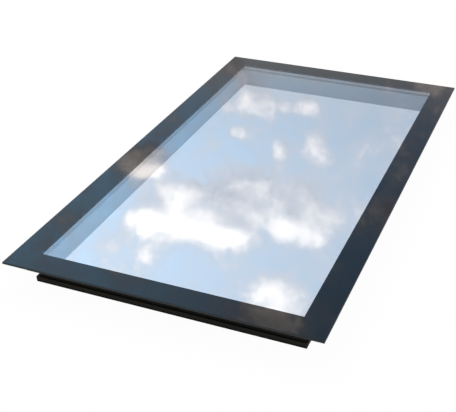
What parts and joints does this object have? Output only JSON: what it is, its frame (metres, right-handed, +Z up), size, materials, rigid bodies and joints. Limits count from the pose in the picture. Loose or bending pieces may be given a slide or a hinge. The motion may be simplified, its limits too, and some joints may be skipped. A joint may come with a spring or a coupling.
{
  "type": "roof skylight",
  "caption": "Fixed flat-roof skylight: stepped double glazing with a dark printed border on a slim thermally broken frame for a kerb.",
  "frame": {"origin": "centre of the underside of the foot seals, on the plane the skylight stands on", "axes": "+Z up through the glass, +Y along the long sides, -Y towards the short side at the front of the picture, +X to its right"},
  "size_m": [1.2, 2.2, 0.1128],
  "materials": {
    "clear_glass": "polished toughened glass with a ground edge",
    "laminated_glass": "polished laminated glass",
    "enamel": "fired dark enamel print",
    "spacer_metal": "roll-formed, matt",
    "key_plastic": "moulded",
    "desiccant": "packed beads",
    "butyl": "tacky bead",
    "silicone": "tooled pale grey silicone",
    "foam_tape": "pale closed-cell foam",
    "dark_powder_coat": "fine-textured matt powder coat on extruded aluminium",
    "pale_powder_coat": "satin powder coat on extruded aluminium",
    "polyamide": "extruded glass-filled polyamide",
    "mill_aluminium": "extruded and sawn",
    "angle_steel": "stainless strip",
    "screw_steel": "bright zinc",
    "seal_rubber": "extruded rubber"
  },
  "bodies": {
    "root": {"outer_pane": "clear_glass", "inner_pane": "laminated_glass", "frit_border": "enamel", "spacer_keys": "key_plastic", "desiccant": "desiccant", "butyl_upper": "butyl", "butyl_lower": "butyl", "edge_seal": "silicone", "structural_bond": "silicone", "inner_gasket": "foam_tape", "bonding_tape": "foam_tape", "corner_screws": "screw_steel", "spacer_bar_front": "spacer_metal", "outer_rail_front": "dark_powder_coat", "inner_rail_front": "pale_powder_coat", "upper_break_front": "polyamide", "lower_break_front": "polyamide", "kerb_seal_front": "seal_rubber", "foot_seal_front": "seal_rubber", "spacer_bar_right": "spacer_metal", "outer_rail_right": "dark_powder_coat", "inner_rail_right": "pale_powder_coat", "upper_break_right": "polyamide", "lower_break_right": "polyamide", "kerb_seal_right": "seal_rubber", "foot_seal_right": "seal_rubber", "spacer_bar_back": "spacer_metal", "outer_rail_back": "dark_powder_coat", "inner_rail_back": "pale_powder_coat", "upper_break_back": "polyamide", "lower_break_back": "polyamide", "kerb_seal_back": "seal_rubber", "foot_seal_back": "seal_rubber", "spacer_bar_left": "spacer_metal", "outer_rail_left": "dark_powder_coat", "inner_rail_left": "pale_powder_coat", "upper_break_left": "polyamide", "lower_break_left": "polyamide", "kerb_seal_left": "seal_rubber", "foot_seal_left": "seal_rubber", "corner_cleat_front_left": "mill_aluminium", "alignment_angle_front_left": "angle_steel", "corner_cleat_front_right": "mill_aluminium", "alignment_angle_front_right": "angle_steel", "corner_cleat_back_left": "mill_aluminium", "alignment_angle_back_left": "angle_steel", "corner_cleat_back_right": "mill_aluminium", "alignment_angle_back_right": "angle_steel"}
  },
  "joints": []
}
